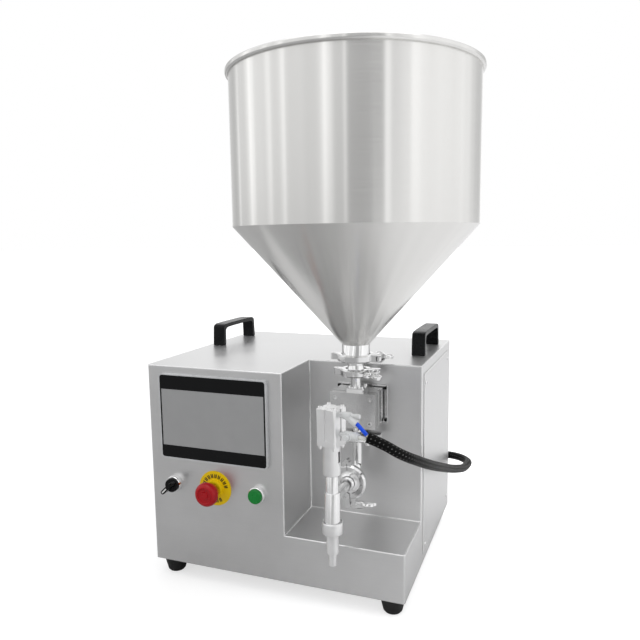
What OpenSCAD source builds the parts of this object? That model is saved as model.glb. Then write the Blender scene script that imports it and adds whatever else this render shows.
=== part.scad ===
// Benchtop servo piston liquid filler: sheet steel cabinet with a corner bay, a cone hopper on
// tri-clamp pipework, a plate valve head, and a shut-off nozzle worked by an air cylinder.
// Millimetres, +Z up, front towards -Y. Parts are drawn in cabinet coordinates: x from the left
// face, y from the front face, z from the underside of the cabinet. place() moves them to the
// frame, whose origin is the centre of the overall footprint at floor level.

/* [Cabinet] */
// overall width of the cabinet
cabinet_w = 450; // [420:1:480]
// overall depth of the cabinet
cabinet_d = 400; // [370:1:430]
// height of the cabinet above its feet
cabinet_h = 350; // [330:1:380]
// thickness of the folded sheet
sheet_t = 1.5; // [1:0.1:2]
// bend radius of the vertical corners
bend_r = 3; // [2:0.5:5]
// left edge of the corner bay
bay_x = 250; // [240:1:270]
// depth of the corner bay
bay_d = 120; // [110:1:140]
// height of the bay floor
bay_z = 80; // [60:1:100]
// height of the rubber feet
foot_h = 28; // [20:1:35]
// largest radius of a foot
foot_r = 21; // [15:0.5:25]
// distance from the sides to a foot's centre
foot_inset = 25; // [22:1:40]
// width of a side cover, front to back
cover_w = 236; // [200:1:250]
// height of a side cover
cover_h = 318; // [280:1:330]
// front edge of a side cover
cover_y = 135; // [130:1:150]
// lower edge of a side cover
cover_z = 16; // [10:1:30]

/* [Handles] */
// length of a carrying handle
handle_len = 138; // [110:1:160]
// width of a carrying handle
handle_w = 24; // [18:1:30]
// height of a carrying handle
handle_h = 43; // [35:1:50]
// front end of the handles
handle_y = 206; // [190:1:230]
// distance from the sides to a handle's centre
handle_inset = 22; // [18:1:40]

/* [Front controls] */
// width of the touch screen's bezel
screen_w = 200.4; // [180:0.2:220]
// height of the touch screen's bezel
screen_h = 146.5; // [130:0.5:160]
// how far the bezel stands proud
screen_proud = 7; // [4:0.5:10]
// left edge of the bezel
screen_x = 25.5; // [20:0.5:35]
// lower edge of the bezel
screen_z = 191; // [185:0.5:200]
// height of the row of three controls
control_z = 145; // [130:1:160]
// centre of the selector switch
selector_x = 47; // [40:1:55]
// centre of the emergency stop
estop_x = 124.5; // [115:0.5:135]
// centre of the start button
start_x = 204; // [195:0.5:215]
// radius of the emergency stop's yellow disc
disc_r = 30; // [25:0.5:32]
// radius of the mushroom head
head_r = 20; // [18:0.5:22]

/* [Valve head and pipework] */
// centre of the head across the cabinet
head_x = 348; // [340:1:360]
// centre of the inlet pipe and the hopper across the cabinet
hopper_x = 346; // [338:1:358]
// depth of the vertical pipe axis
pipe_y = 88; // [80:1:95]
// width of the valve head
block_w = 76; // [70:1:84]
// height of the valve head
block_h = 58; // [50:1:64]
// underside of the valve head
block_z = 253; // [245:1:265]
// radius of the piston bore
bore_r = 20; // [15:0.5:22]
// stroke of the dosing piston
stroke = 70; // [50:1:75]
// outer radius of the thin pipes
pipe_r = 8; // [7:0.5:10]
// flange radius of the two large ferrules
ferrule_r = 25.25; // [24:0.05:26]
// flange radius of the two small ferrules
small_ferrule_r = 19.5; // [17:0.5:21]
// height of the hopper clamp's centre plane
clamp_top_z = 366; // [362:0.5:370]
// height of the inlet clamp's centre plane
clamp_in_z = 341; // [338:0.5:345]
// height of the outlet clamp's centre plane
clamp_out_z = 233; // [228:0.5:238]
// depth of the nozzle clamp's centre plane
clamp_noz_y = 43; // [38:0.5:48]
// height of the horizontal outlet pipe
outlet_z = 169; // [160:1:180]

/* [Hopper] */
// outer radius of the hopper's cylinder
hopper_r = 195; // [180:1:210]
// outer radius of the neck
neck_r = 23; // [20:0.5:26]
// lower end of the cone
cone_z = 388; // [384:1:395]
// junction of cone and cylinder
shoulder_z = 580; // [560:1:600]
// top of the cylinder, under the rolled rim
hopper_top_z = 812; // [780:1:830]
// radius of the rolled rim's wire
rim_r = 3.25; // [3:0.25:6]
// half height of the rim's flat side
rim_flat = 1.2; // [0.2:0.1:3]
// wall thickness of the hopper
hopper_t = 1.5; // [1:0.1:2]

/* [Nozzle] */
// distance of the nozzle axis in front of the cabinet
nozzle_y = -41; // [-60:1:-35]
// side of the air cylinder
cylinder_w = 33; // [30:1:40]
// turn of the air cylinder and its fittings about the nozzle axis, degrees
cylinder_turn = 13; // [0:1:20]
// underside of the air cylinder
cylinder_z = 266.5; // [260:0.5:275]
// length of the air cylinder
cylinder_h = 47; // [40:1:60]
// outer radius of the spacer collar
collar_r = 13.4; // [12:0.1:15]
// outer radius of the nozzle's main tube
barrel_r = 12; // [11:0.1:13]
// radius of the union nut
nut_r = 16.2; // [15:0.1:18]
// outer radius of the nozzle's end
tip_r = 6.1; // [5.5:0.1:8]
// lower end of the nozzle
tip_z = 68.5; // [60:0.5:80]
// lift of the shut-off stem
lift = 10; // [6:1:12]

/* [Hose] */
// outer radius of the braided sleeve
sleeve_r = 7.8; // [6:0.1:9]
// radius of an air tube
tube_r = 3; // [2:0.5:4]

/* [Hidden] */
$fn = 64;
// thin sliver used so that a cut passes right through
eps = 0.02;
// running clearance on a radius
fit = 0.08;
// working clearance between bodies
gap = 0.3;
// overall footprint: widest at the left cover's screws and the hopper rim
screw_h = 2.5;
rim_centre = hopper_r - hopper_t + rim_r;
hopper_rim = rim_centre + rim_r;
ref_x = (-sheet_t - screw_h + hopper_x + hopper_rim) / 2;
rear_y = cabinet_d + 24;
ref_y = (pipe_y - hopper_rim + rear_y) / 2;
block_top = block_z + block_h;
axis_z = block_z + block_h / 2;
block_y = 60;
cover_plate = 13;
gasket_t = 2;
body_y = block_y + cover_plate + gasket_t;
body_front = 13;
body_back = 12;
flange_y = body_y + body_front + body_back;
flange_t = 11;
wall_plate_y = 117;
barrel_end = 200;
piston_y = 96;
piston_t = 20;
nut_y = 205;
nut_t = 25;
screw_y = 190;
bearing_y = nut_y + nut_t + stroke + 6;
rear_plate_y = bearing_y + 12;
rear_plate_t = 12;
pulley_y = rear_plate_y + 14;
pulley_t = 14;
pulley_r = 20;
motor_z = 192;
motor_w = 60;
motor_y = 206;
elbow_r = 25;
valve_z = 358;
ball_r = 6.5;
ball_z = 353.4;
seat_r = 5;
panel_y = cabinet_d - sheet_t;
inlet_x = 95;
inlet_z = 60;
rocker_z = 96;
air_x = 250;
air_z = 60;
axis_screw_r = 6;

// the sleeve's gland in the back panel
gland_x = 362;
gland_z = 85;
gland_face_y = cabinet_d + 11;
// route of the braided sleeve's centre line, from its mouth to the face of its gland
SLEEVE_ROUTE = [
  [406, -50, 277],
  [420, -53, 272],
  [434, -50, 265],
  [448, -38, 254],
  [458, -22, 244],
  [466, 2, 232],
  [471, 30, 219],
  [475, 70, 202],
  [477, 120, 182],
  [478, 180, 159],
  [480, 240, 136],
  [484, 300, 115],
  [487, 350, 99],
  [488, 385, 91],
  [488, 417, 86],
  [484, 439, 82],
  [473, 458, 80],
  [456, 472, 79],
  [436, 479, 78],
  [414, 479, 78],
  [394, 472, 79],
  [377, 458, 81],
  [366, 439, 84],
  [gland_x, 421, gland_z],
  [gland_x, gland_face_y, gland_z]
];
// route of the blue air tube, from the upper fitting to the sleeve
BLUE_ROUTE = [
  [387.7, -50.2, 297],
  [391.5, -51, 294.9],
  [396, -51.2, 290.4],
  [400.8, -50.7, 285.2],
  [405, -50, 280.3]
];
// route of the clear air tube, from the lower fitting to the sleeve
CLEAR_ROUTE = [
  [390.9, -50.9, 276.2],
  [394.8, -51.8, 276.2],
  [399.5, -51.6, 275.3],
  [403.1, -50.9, 273.9]
];

steel = [0.78, 0.78, 0.79];
dark = [0.12, 0.12, 0.13];
satin = [0.9, 0.9, 0.91];
rubber = [0.08, 0.08, 0.08];

// ---- helpers ----

module place() {
  translate([-ref_x, -ref_y, foot_h]) children();
}

// a plate in the XY plane with rounded corners
module round_rect(w, d, r) {
  translate([r, 0]) square([w - 2 * r, d]);
  translate([0, r]) square([w, d - 2 * r]);
  for (x = [r, w - r], y = [r, d - r]) translate([x, y]) circle(r);
}

// children drawn in XY are turned to face the front: their +Z points to -Y
module face_front() {
  rotate([90, 0, 0]) children();
}

// a hollow round tube standing on z = 0
module tube(outer, inner, h) {
  difference() {
    cylinder(r = outer, h = h);
    translate([0, 0, -eps]) cylinder(r = inner, h = h + 2 * eps);
  }
}

// a socket head screw standing on z = 0 with its socket up
module cap_screw(r, h) {
  difference() {
    cylinder(r = r, h = h, $fn = 32);
    translate([0, 0, h - r * 0.7]) cylinder(r = r * 0.55, h = r, $fn = 6);
  }
}

// a low domed cross-head screw standing on z = 0
module pan_screw(r, h) {
  difference() {
    rotate_extrude($fn = 32) {
      polygon([[0, 0], [r, 0], [r, h * 0.4], [r * 0.8, h * 0.8], [r * 0.4, h], [0, h]]);
    }
    translate([-r * 0.55, -r * 0.12, h * 0.5]) cube([r * 1.1, r * 0.24, h]);
    translate([-r * 0.12, -r * 0.55, h * 0.5]) cube([r * 0.24, r * 1.1, h]);
  }
}

// a ferrule flange on a pipe, its face at z = 0 and its pipe running up to z = h
module ferrule(flange, outer, inner, h) {
  rotate_extrude() {
    polygon([[inner, 0.3], [flange, 0.3], [flange, 2.2], [outer + (flange - outer) / 4, 3.8],
             [outer, 6], [outer, h], [inner, h]]);
  }
}

// a wing nut on the Z axis, seated on z = 0, with long open wings
wing_x = 8.8;
wing_z = 20;
wing_r = 6.3;
wing_l = 10;
module wing(r, l, t) {
  rotate([90, 0, 0]) linear_extrude(t, center = true) scale([1, l / r]) circle(r, $fn = 48);
}
module wing_nut() {
  difference() {
    union() {
      cylinder(r1 = 7.2, r2 = 5.4, h = 12, $fn = 40);
      for (s = [-1, 1]) {
        translate([s * wing_x, 0, wing_z]) wing(wing_r, wing_l, 1.6);
        translate([s * wing_x, 0, wing_z]) difference() {
          wing(wing_r, wing_l, 4.4);
          wing(wing_r - 1.7, wing_l - 1.7, 6);
        }
        rotate([90, 0, 0]) linear_extrude(3, center = true) {
          polygon([[s * 4, 1], [s * 6.6, 1], [s * 12.6, 14], [s * 9, 16], [s * 4, 12]]);
        }
      }
    }
    translate([0, 0, -eps]) cylinder(r = clamp_bolt_r + fit, h = 40, $fn = 40);
  }
}
clamp_bolt_r = 3;

// how far the clamp bolt sits from the clamp's axis
function bolt_x(ring) = ring + 10;

// a two-half tri-clamp about the Z axis: hinge at -X, eye bolt along Y at +X, nut side at +Y
module tri_clamp(ring, flange, neck, bevel = 2, hinge = 8.5) {
  half = 6;
  difference() {
    union() {
      rotate_extrude($fn = 96) {
        polygon([[neck, -half], [ring - bevel, -half], [ring, -half + bevel], [ring, half - bevel],
                 [ring - bevel, half], [neck, half]]);
      }
      // hinge tabs and the lugs that hold the eye bolt
      translate([-ring - hinge + 1, -7, -5]) cube([hinge + 2, 14, 10]);
      translate([ring - 2, -10, -half]) cube([16, 8.5, 2 * half]);
      translate([ring - 2, 1.5, -half]) cube([16, 7, 2 * half]);
    }
    // groove that grips the two ferrule flanges
    rotate_extrude($fn = 96) {
      polygon([[0, -half - 1], [neck, -half - 1], [neck, -4.6], [flange + 0.2, -3.1],
               [flange + 0.2, 3.1], [neck, 4.6], [neck, half + 1], [0, half + 1]]);
    }
    translate([ring - 12, -1.5, -half - 1]) cube([30, 3, 14]);
    translate([-ring - hinge, -0.4, -half - 1]) cube([hinge + 10, 0.8, 14]);
    // slot for the eye bolt
    translate([bolt_x(ring) - 4, -14, -3.6]) cube([14, 30, 7.2]);
  }
  // hinge pin and its knuckle
  difference() {
    translate([-ring - hinge, 0, -5.5]) cylinder(r = 3.8, h = 11, $fn = 32);
    translate([-ring - hinge, 0, 3.5]) cylinder(r = 1, h = 4, $fn = 6);
  }
  // eye bolt: pivot across the far lug, shank along Y
  translate([bolt_x(ring), -6, -6]) cylinder(r = 2.4, h = 12, $fn = 32);
  translate([bolt_x(ring), -6, -3]) cylinder(r = 3.9, h = 6, $fn = 32);
  translate([bolt_x(ring), -6, 0]) rotate([-90, 0, 0]) cylinder(r = clamp_bolt_r, h = 33, $fn = 40);
}

// where each clamp sits: children are drawn about the Z axis
module at_clamp_top() {
  translate([hopper_x, pipe_y, clamp_top_z]) children();
}
module at_clamp_inlet() {
  translate([hopper_x, pipe_y, clamp_in_z]) rotate([180, 0, 0]) children();
}
module at_clamp_outlet() {
  translate([head_x, pipe_y, clamp_out_z]) rotate([180, 0, 0]) children();
}
module at_clamp_nozzle() {
  translate([head_x, clamp_noz_y, outlet_z]) rotate([90, 0, 0]) rotate([0, 0, -84]) children();
}
ring_big = 31;
ring_small = 26;
ring_nozzle = 28.5;

// unit vectors for the swept tubes
function unit(v) = v / norm(v);
function across(t) = unit(cross(t, abs(t[2]) > 0.9 ? [1, 0, 0] : [0, 0, 1]));
function tangent(p, i) = unit(p[min(i + 1, len(p) - 1)] - p[max(i - 1, 0)]);
function ring_points(p, i, r, n) = let (t = tangent(p, i), a = across(t), b = cross(a, t))
  [for (k = [0 : n - 1]) p[i] + r * (cos(360 * k / n) * a + sin(360 * k / n) * b)];

// a flexible tube swept along a route
module swept(p, r, n) {
  m = len(p);
  rings = [for (i = [0 : m - 1]) each ring_points(p, i, r, n)];
  sides = [for (i = [0 : m - 2]) for (k = [0 : n - 1])
    [i * n + k, i * n + (k + 1) % n, (i + 1) * n + (k + 1) % n, (i + 1) * n + k]];
  caps = [[for (k = [n - 1 : -1 : 0]) k], [for (k = [0 : n - 1]) (m - 1) * n + k]];
  polyhedron(points = rings, faces = concat(sides, caps), convexity = 6);
}

// points between two routed points, for a smooth curve
function curve(a, b, c, d, t) = 0.5 * (2 * b + (c - a) * t + (2 * a - 5 * b + 4 * c - d) * t * t
  + (3 * b - a - 3 * c + d) * t * t * t);
function smooth(p, k) = concat([for (i = [0 : len(p) - 2]) for (j = [0 : k - 1])
  curve(p[max(i - 1, 0)], p[i], p[i + 1], p[min(i + 2, len(p) - 1)], j / k)], [p[len(p) - 1]]);

// ---- cabinet ----

module cabinet_outline(inset) {
  translate([inset, inset]) {
    round_rect(cabinet_w - 2 * inset, cabinet_d - 2 * inset, bend_r - inset);
  }
}

module cabinet_shell() {
  color(steel) place() difference() {
    linear_extrude(cabinet_h) cabinet_outline(0);
    // corner bay
    translate([bay_x, -1, bay_z]) cube([cabinet_w, bay_d + 1, cabinet_h]);
    // inside, open at the bottom and at the back
    difference() {
      translate([0, 0, -1]) linear_extrude(cabinet_h - sheet_t + 1) cabinet_outline(sheet_t);
      translate([bay_x - sheet_t, -1, bay_z - sheet_t]) {
        cube([cabinet_w, bay_d + sheet_t + 1, cabinet_h]);
      }
    }
    translate([sheet_t, cabinet_d - 20, -1]) {
      cube([cabinet_w - 2 * sheet_t, 30, cabinet_h - sheet_t + 1]);
    }
    // screen cut-out
    translate([screen_x + 5, -1, screen_z + 5]) cube([screen_w - 10, 4, screen_h - 10]);
    // control holes
    for (x = [selector_x, estop_x, start_x]) {
      translate([x, 3, control_z]) face_front() cylinder(r = 11.2, h = 5);
    }
    // barrel hole in the bay's rear wall
    translate([head_x, bay_d + 4, axis_z]) face_front() cylinder(r = 28.2, h = 6);
    // openings behind the side covers
    for (x = [-1, cabinet_w - 3]) {
      translate([x, cover_y + 18, cover_z + 18]) cube([4, cover_w - 36, cover_h - 36]);
    }
  }
}

module base_plate() {
  color(steel) place() difference() {
    translate([sheet_t, sheet_t, 0]) {
      linear_extrude(2) round_rect(cabinet_w - 2 * sheet_t, panel_y - sheet_t, 1.5);
    }
    // cooling slots
    for (i = [0 : 7]) {
      translate([140 + i * 12, 120, -1]) linear_extrude(4) round_rect(5, 90, 2.4);
    }
    for (x = [foot_inset, cabinet_w - foot_inset], y = [foot_inset, cabinet_d - foot_inset]) {
      translate([x, y, -1]) cylinder(r = 3.2, h = 4, $fn = 32);
    }
  }
}

module back_panel() {
  color(steel) place() difference() {
    translate([sheet_t, panel_y, 2]) cube([cabinet_w - 2 * sheet_t, sheet_t, cabinet_h - sheet_t - 2]);
    // fan and louvre slots
    for (i = [0 : 6]) {
      translate([50, panel_y - 1, 200 + i * 14]) cube([110, 4, 5]);
      translate([300, panel_y - 1, 200 + i * 14]) cube([90, 4, 5]);
    }
    // cut-outs for the power inlet, its switch, the air inlet and the sleeve
    translate([inlet_x - 14, panel_y - 1, inlet_z - 10.5]) cube([28, 4, 21]);
    translate([inlet_x - 11, panel_y - 1, rocker_z - 7.5]) cube([22, 4, 15]);
    translate([air_x, cabinet_d + 1, air_z]) face_front() cylinder(r = 7.2, h = 4);
    translate([gland_x, cabinet_d + 1, gland_z]) face_front() cylinder(r = 10.2, h = 4);
  }
}

module side_cover() {
  cube([sheet_t, cover_w, cover_h]);
}

module side_covers() {
  color(steel) place() {
    translate([cabinet_w, cover_y, cover_z]) side_cover();
    translate([-sheet_t, cover_y, cover_z]) side_cover();
  }
}

module cover_screws() {
  color(steel) place() {
    for (y = [cover_y + 8, cover_y + cover_w - 8], z = [cover_z + 16, cover_z + cover_h - 16]) {
      translate([cabinet_w + sheet_t, y, z]) rotate([0, 90, 0]) pan_screw(3.6, screw_h);
      translate([-sheet_t, y, z]) rotate([0, -90, 0]) pan_screw(3.6, screw_h);
    }
    // back panel screws
    for (x = [12, cabinet_w - 12], z = [14, cabinet_h / 2, cabinet_h - 14]) {
      translate([x, cabinet_d, z]) rotate([-90, 0, 0]) pan_screw(3.6, screw_h);
    }
  }
}

module foot() {
  difference() {
    rotate_extrude() {
      polygon([[0, 0], [foot_r - 8, 0], [foot_r - 5.5, 3], [foot_r - 0.5, foot_h - 5],
               [foot_r, foot_h - 4], [foot_r, foot_h], [0, foot_h]]);
    }
    translate([0, 0, -eps]) cylinder(r = 6, h = 9, $fn = 32);
  }
  // fixing screw in the well
  translate([0, 0, 8.9]) mirror([0, 0, 1]) cap_screw(4.5, 3);
}

module rubber_feet() {
  color(rubber) place() {
    for (x = [foot_inset, cabinet_w - foot_inset], y = [foot_inset, cabinet_d - foot_inset]) {
      translate([x, y, -foot_h]) foot();
    }
  }
}

// ---- handles ----

module handle() {
  l = handle_len;
  h = handle_h;
  translate([handle_w / 2, 0, 0]) rotate([0, -90, 0]) linear_extrude(handle_w) difference() {
    polygon([[0, 0], [h * 0.84, 2.4], [h * 0.94, 5], [h * 0.985, 12], [h, 34], [h, l - 34],
             [h * 0.985, l - 12], [h * 0.94, l - 5], [h * 0.84, l - 2.4], [0, l]]);
    polygon([[-1, 9.5], [h * 0.7, 11], [h * 0.78, 14.5], [h * 0.81, 22], [h * 0.82, 40],
             [h * 0.82, l - 40], [h * 0.81, l - 22], [h * 0.78, l - 14.5], [h * 0.7, l - 11],
             [-1, l - 9.5]]);
  }
}

module carrying_handles() {
  color(dark) place() {
    translate([handle_inset, handle_y, cabinet_h]) handle();
    translate([cabinet_w - handle_inset - 3, handle_y, cabinet_h]) handle();
  }
}

// ---- touch screen ----

// a plate on the front face, from depth y0 (proud) back to y1, inset from the bezel's outline
module screen_plate(inset, y0, y1, r) {
  translate([screen_x + inset, y1, screen_z + inset]) face_front() linear_extrude(y1 - y0) {
    round_rect(screen_w - 2 * inset, screen_h - 2 * inset, r);
  }
}

band_top = 24;
band_bottom = 21;
bezel = 2;
display_edge = 2.6;

module screen_frame() {
  color(satin) place() difference() {
    union() {
      screen_plate(0, -screen_proud, 0, 6);
      // housing behind the front sheet
      screen_plate(5.4, 0, 36, 3);
    }
    screen_plate(bezel, -screen_proud - 1, -screen_proud + 2, 4.5);
    // hollow housing
    screen_plate(9, 6, 34, 3);
  }
}

// window of the display inside the black glass
module display_window(extra) {
  translate([screen_x + bezel + display_edge - extra, 0, screen_z + bezel + band_bottom - extra]) {
    face_front() linear_extrude(30) {
      square([screen_w - 2 * (bezel + display_edge) + 2 * extra,
              screen_h - 2 * bezel - band_top - band_bottom + 2 * extra]);
    }
  }
}

module screen_glass() {
  color(dark) place() difference() {
    screen_plate(bezel + 0.1, -screen_proud - 0.2, -screen_proud + 2, 4.4);
    display_window(0);
  }
}

module screen_display() {
  color([0.45, 0.46, 0.47]) place() intersection() {
    screen_plate(bezel + 0.1, -screen_proud + 0.1, -screen_proud + 2, 4.4);
    display_window(-0.05);
  }
}

// ---- push buttons and switches: drawn with +Z out of the panel ----

module at_control(x) {
  translate([x, 0, control_z]) face_front() children();
}

// threaded barrel, panel nut and contact block behind the sheet
module control_rear(block) {
  translate([0, 0, -16]) cylinder(r = 11, h = 16);
  translate([0, 0, -sheet_t - 4]) cylinder(r = 15, h = 4, $fn = 6);
  translate([-12, -block / 2, -46]) cube([24, block, 30]);
}

module estop_ring() {
  color([0.95, 0.8, 0.1]) place() at_control(estop_x) tube(disc_r, 11.3, 1.2);
}

module estop_body() {
  color(dark) place() at_control(estop_x) difference() {
    union() {
      control_rear(40);
      cylinder(r = 11, h = 2);
      translate([0, 0, 1.2]) cylinder(r1 = 15, r2 = 13.4, h = 5.8);
    }
    translate([0, 0, -8]) cylinder(r = 8.2, h = 20);
  }
}

module estop_stem() {
  color(dark) place() at_control(estop_x) {
    translate([0, 0, -2]) cylinder(r = 7.9, h = 16);
    translate([0, 0, 12.6]) cylinder(r = 12, h = 5.4);
  }
}

module estop_head() {
  r = head_r;
  color([0.8, 0.1, 0.1]) place() at_control(estop_x) rotate_extrude($fn = 96) {
    polygon([[0, 18.3], [12.3, 18.3], [12.3, 12.9], [13.4, 12.9], [16.4, 19], [18.8, 23.5],
             [r, 27], [r, 30], [r - 0.8, 33.5],
             [r - 2.6, 36], [r - 5, 37.4], [r - 7, 37.6], [r - 7.8, 36.8], [r - 8, 36],
             [6.4, 35.6], [6, 36.6], [0, 36.9]]);
  }
}

// underside of the selector's dial in front of the panel
knob_z = 11;
module selector_body() {
  color(steel) place() at_control(selector_x) difference() {
    union() {
      control_rear(40);
      rotate_extrude() {
        polygon([[0, 0], [14.5, 0], [14.5, knob_z - 2.6], [13.2, knob_z - 0.3], [0, knob_z - 0.3]]);
      }
    }
    translate([0, 0, -8]) cylinder(r = 8.2, h = 24);
  }
}

// grip points to the lower left at rest
grip_angle = 225;
grip_r = 3.3;
module selector_knob() {
  color(dark) place() at_control(selector_x) {
    translate([0, 0, -2]) cylinder(r = 7.9, h = knob_z + 3);
    translate([0, 0, knob_z]) cylinder(r1 = 12, r2 = 11.4, h = 5);
    rotate([0, 0, grip_angle]) translate([0, 0, knob_z + 5]) {
      linear_extrude(14) {
        translate([-8, -grip_r]) square([19, 2 * grip_r]);
        translate([-8, 0]) circle(grip_r);
        translate([11, 0]) circle(grip_r);
      }
      // raised pointer line
      translate([3, -0.9, 13.8]) cube([8, 1.8, 0.7]);
    }
  }
}

module start_body() {
  color(steel) place() at_control(start_x) difference() {
    union() {
      control_rear(40);
      rotate_extrude() {
        polygon([[0, 0], [14.5, 0], [14.5, 7.5], [13.8, 9], [12.9, 9.6], [0, 9.6]]);
      }
    }
    translate([0, 0, 3]) cylinder(r = 12.4, h = 20);
    translate([0, 0, -8]) cylinder(r = 8.2, h = 20);
  }
}

module start_cap() {
  color([0.05, 0.55, 0.3]) place() at_control(start_x) {
    translate([0, 0, -2]) cylinder(r = 7.9, h = 12);
    rotate_extrude() {
      polygon([[0, 8], [12.1, 8], [12.1, 13.2], [11.4, 14.4], [10, 14.8], [0, 15.2]]);
    }
  }
}

// ---- valve head ----

// a block centred on the head, from depth y0 to y1
module head_block(half_w, y0, y1, z0, z1) {
  translate([head_x - half_w, y0, z0]) cube([2 * half_w, y1 - y0, z1 - z0]);
}

// a hole along Y through the head's axis
module piston_bore(r, y0, y1) {
  translate([head_x, y1, axis_z]) face_front() cylinder(r = r, h = y1 - y0);
}

cover_hole_x = 29.3;
cover_hole_z = 20;
module valve_cover() {
  color(steel) place() difference() {
    head_block(block_w / 2, block_y, block_y + cover_plate, block_z, block_top);
    for (x = [-cover_hole_x, cover_hole_x], z = [-cover_hole_z, cover_hole_z]) {
      translate([head_x + x, block_y + 4.6, axis_z + z]) face_front() cylinder(r = 4.7, h = 6);
    }
  }
}

module valve_body() {
  color(steel) place() difference() {
    union() {
      head_block(block_w / 2, body_y, body_y + body_front, block_z, block_top);
      head_block(block_w / 2 - 4, body_y, flange_y, block_z, block_top);
    }
    piston_bore(bore_r, body_y + 3, flange_y + 1);
    translate([head_x, pipe_y, block_z - 1]) cylinder(r = 5, h = block_h / 2);
    translate([hopper_x, pipe_y, axis_z]) cylinder(r = 5, h = block_h);
  }
}

module valve_flange() {
  color(steel) place() difference() {
    union() {
      head_block(block_w / 2, flange_y, flange_y + flange_t, block_z, block_top);
      piston_bore(28, flange_y, wall_plate_y + 1);
      head_block(44, wall_plate_y, bay_d, block_z - 4, block_top + 4);
    }
    piston_bore(bore_r, flange_y - 1, bay_d + 1);
  }
}

module valve_screws() {
  color(steel) place() {
    for (x = [-cover_hole_x, cover_hole_x], z = [-cover_hole_z, cover_hole_z]) {
      translate([head_x + x, block_y + 4.6, axis_z + z]) face_front() cap_screw(4.5, 4.4);
    }
    for (x = [-11, 11], y = [-11, 11]) {
      translate([head_x + x, pipe_y + y, block_top + 5]) cap_screw(3, 3.4);
    }
    for (x = [-41, 41], z = [block_z + 2, block_top - 1]) {
      translate([head_x + x, wall_plate_y, z]) face_front() cap_screw(2.6, 2.6);
    }
  }
}

// ---- pipework ----

module pipe_stubs() {
  color(steel) place() {
    difference() {
      translate([head_x - 15, pipe_y - 15, block_top]) linear_extrude(5) round_rect(30, 30, 2);
      translate([hopper_x, pipe_y, block_top - 1]) cylinder(r = 5, h = 8);
    }
    translate([hopper_x, pipe_y, clamp_in_z]) mirror([0, 0, 1]) {
      ferrule(small_ferrule_r, pipe_r, 5, clamp_in_z - block_top - 5);
    }
    translate([head_x, pipe_y, clamp_out_z]) {
      ferrule(small_ferrule_r, pipe_r, 5, block_z - clamp_out_z);
    }
  }
}

module reducer() {
  lo = clamp_in_z + 0.3;
  hi = clamp_top_z - 0.3;
  r = 13.5;
  color(steel) place() translate([hopper_x, pipe_y, 0]) rotate_extrude() {
    polygon([[10.5, lo], [small_ferrule_r, lo], [small_ferrule_r, lo + 1.9],
             [r + 1.5, lo + 3.5], [r, lo + 5.7], [r, hi - 5.7], [r + 2.9, hi - 3.5],
             [ferrule_r, hi - 1.9], [ferrule_r, hi], [12, hi], [seat_r, hi - 3.7],
             [seat_r, valve_z], [10.5, valve_z]]);
  }
}

module outlet_elbow() {
  color(steel) place() {
    translate([head_x, pipe_y, clamp_out_z]) mirror([0, 0, 1]) {
      ferrule(small_ferrule_r, pipe_r, 5, clamp_out_z - outlet_z - elbow_r);
    }
    translate([head_x, pipe_y - elbow_r, outlet_z + elbow_r]) {
      rotate([90, 90, 90]) rotate_extrude(angle = 90) translate([elbow_r, 0]) difference() {
        circle(pipe_r);
        circle(5);
      }
    }
    translate([head_x, clamp_noz_y, outlet_z]) rotate([-90, 0, 0]) {
      ferrule(ferrule_r, pipe_r, 5, pipe_y - elbow_r - clamp_noz_y);
    }
  }
}

module gaskets() {
  color(dark) place() {
    head_block(block_w / 2 - 1, block_y + cover_plate, body_y, block_z + 1, block_top - 1);
    translate([hopper_x, pipe_y, clamp_top_z - 0.3]) tube(ferrule_r - 1, 12, 0.6);
    translate([hopper_x, pipe_y, clamp_in_z - 0.3]) tube(small_ferrule_r - 1, 6, 0.6);
    translate([head_x, pipe_y, clamp_out_z - 0.3]) tube(small_ferrule_r - 1, 5, 0.6);
    translate([head_x, clamp_noz_y + 0.3, outlet_z]) face_front() tube(ferrule_r - 1, 7, 0.6);
  }
}

module pipe_clamps() {
  color(steel) place() {
    at_clamp_top() tri_clamp(ring_big, ferrule_r, 23.9);
    at_clamp_inlet() tri_clamp(ring_small, small_ferrule_r, 17);
    at_clamp_outlet() tri_clamp(ring_small, small_ferrule_r, 17);
    at_clamp_nozzle() tri_clamp(ring_nozzle, ferrule_r, 19, 2.8, 6);
  }
}

// a wing nut on a clamp's bolt, turned by a resting angle
module seated_nut(ring, angle) {
  translate([bolt_x(ring), 8.5 + 0.2, 0]) rotate([-90, 0, 0]) rotate([0, 0, angle]) wing_nut();
}

module wing_nut_top() {
  color(steel) place() at_clamp_top() seated_nut(ring_big, 12);
}

module wing_nut_inlet() {
  color(steel) place() at_clamp_inlet() seated_nut(ring_small, -8);
}

module wing_nut_outlet() {
  color(steel) place() at_clamp_outlet() seated_nut(ring_small, 10);
}

module wing_nut_nozzle() {
  color(steel) place() at_clamp_nozzle() seated_nut(ring_nozzle, 72);
}

// ---- nozzle ----

module at_nozzle(z) {
  translate([head_x, nozzle_y, z]) children();
}

// children are turned with the air cylinder about the nozzle axis
module turned() {
  translate([head_x, nozzle_y, 0]) rotate([0, 0, -cylinder_turn]) children();
}

plate_t = 8.5;
plate_z = cylinder_z - plate_t;
collar_z = 211;
collar_bore_h = 45;
tube_joint_z = 184.5;
nozzle_nut_z = 120;
nozzle_nut_h = 18.4;
shelf_z = nozzle_nut_z + 4;
body_z = shelf_z + 3.6;
body_foot_z = 137;
guide_r = 3;
slot_w = 4.4;

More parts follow.
